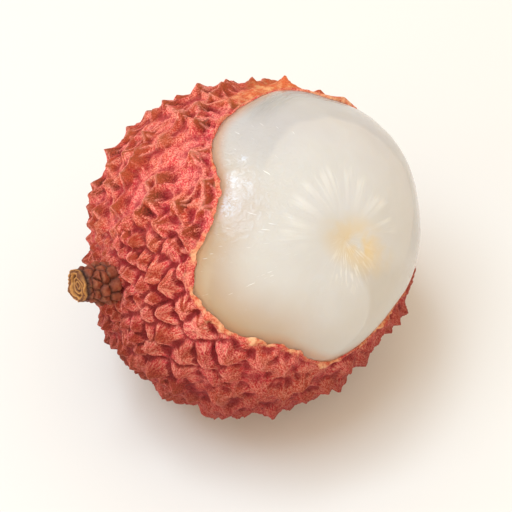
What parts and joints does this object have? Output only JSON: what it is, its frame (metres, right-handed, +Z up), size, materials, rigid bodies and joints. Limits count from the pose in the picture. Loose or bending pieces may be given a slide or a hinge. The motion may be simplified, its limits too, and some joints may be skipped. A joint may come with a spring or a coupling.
{
  "type": "half-peeled lychee",
  "caption": "Lychee fruit with a wide piece of its bumpy rind torn away, its pale flesh bulging out, and a short stub of stalk.",
  "frame": {"origin": "middle of the small flat spot that the fruit rests on, on the table top", "axes": "+Z up from the table; the stalk points to -X, a little to -Y and up; the hole in the rind looks up, to +X and to -Y"},
  "size_m": [0.0364, 0.036, 0.0344],
  "materials": {
    "rind": "matte, leathery, red with brown tips",
    "flesh": "wet and translucent",
    "stalk": "dry and rough"
  },
  "bodies": {
    "root": {"rind": "rind", "flesh": "flesh", "stalk_stub": "stalk"}
  },
  "joints": []
}
